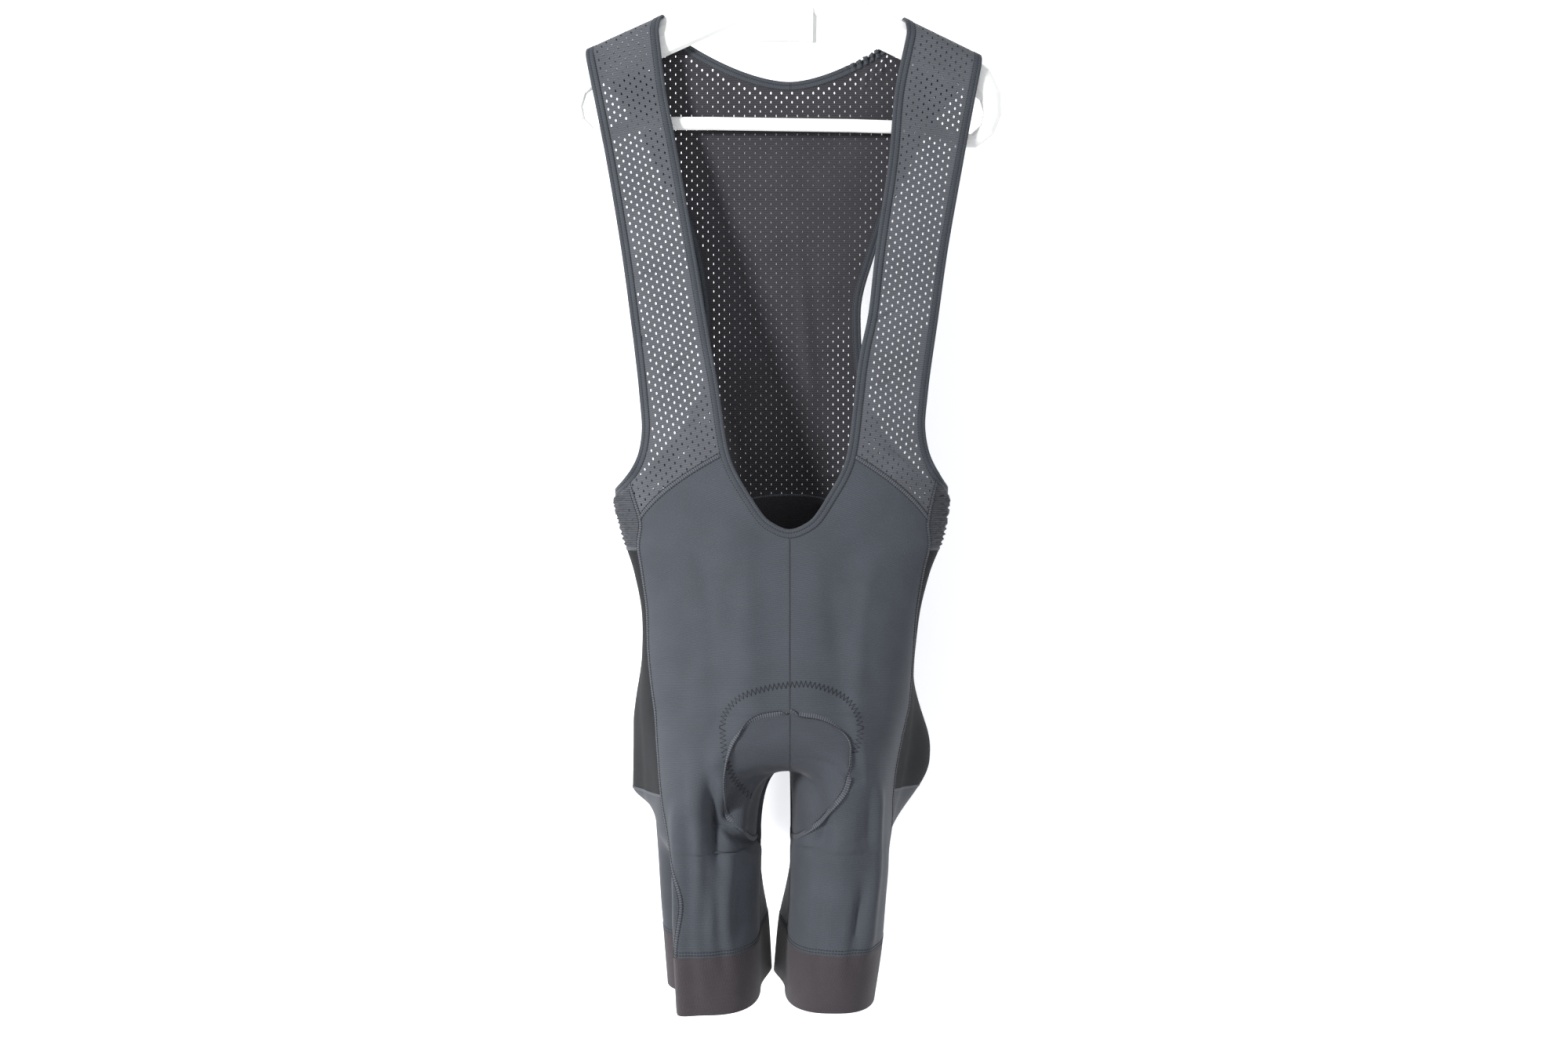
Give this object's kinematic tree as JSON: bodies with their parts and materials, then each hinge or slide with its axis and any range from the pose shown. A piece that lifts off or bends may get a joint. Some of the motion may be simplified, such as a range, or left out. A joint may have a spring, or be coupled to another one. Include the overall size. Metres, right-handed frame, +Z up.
{
  "type": "cycling bib shorts on clothes hanger",
  "caption": "Stretch bib shorts with perforated straps and open back yoke, hanging over the arms of a moulded clothes hanger.",
  "frame": {"origin": "inside top of the hanger's hook, where a rail would carry it", "axes": "+Z up, the front of the garment faces -Y, +X to the right as seen from the front"},
  "size_m": [0.4299, 0.1879, 1.0838],
  "materials": {
    "strap_mesh": "perforated stretch knit, matt",
    "back_mesh": "perforated stretch knit, matt",
    "front_knit": "smooth stretch knit, soft sheen",
    "seat_knit": "dark stretch knit, soft sheen",
    "leg_knit": "smooth stretch knit, soft sheen",
    "gusset_knit": "smooth stretch knit, soft sheen",
    "gripper_band": "fine ribbed elastic band, matt",
    "binding": "folded stretch binding",
    "hanger_plastic": "white moulding, satin"
  },
  "bodies": {
    "root": {"strap_l": "strap_mesh", "strap_r": "strap_mesh", "front_l": "front_knit", "front_r": "front_knit", "back_mesh": "back_mesh", "seat_l": "seat_knit", "seat_r": "seat_knit", "leg_back_l": "leg_knit", "leg_back_r": "leg_knit", "gripper_l": "gripper_band", "gripper_r": "gripper_band", "gusset_l": "gusset_knit", "gusset_r": "gusset_knit", "neck_binding": "binding", "arm_binding_l": "binding", "arm_binding_r": "binding", "hanger": "hanger_plastic"}
  },
  "joints": []
}
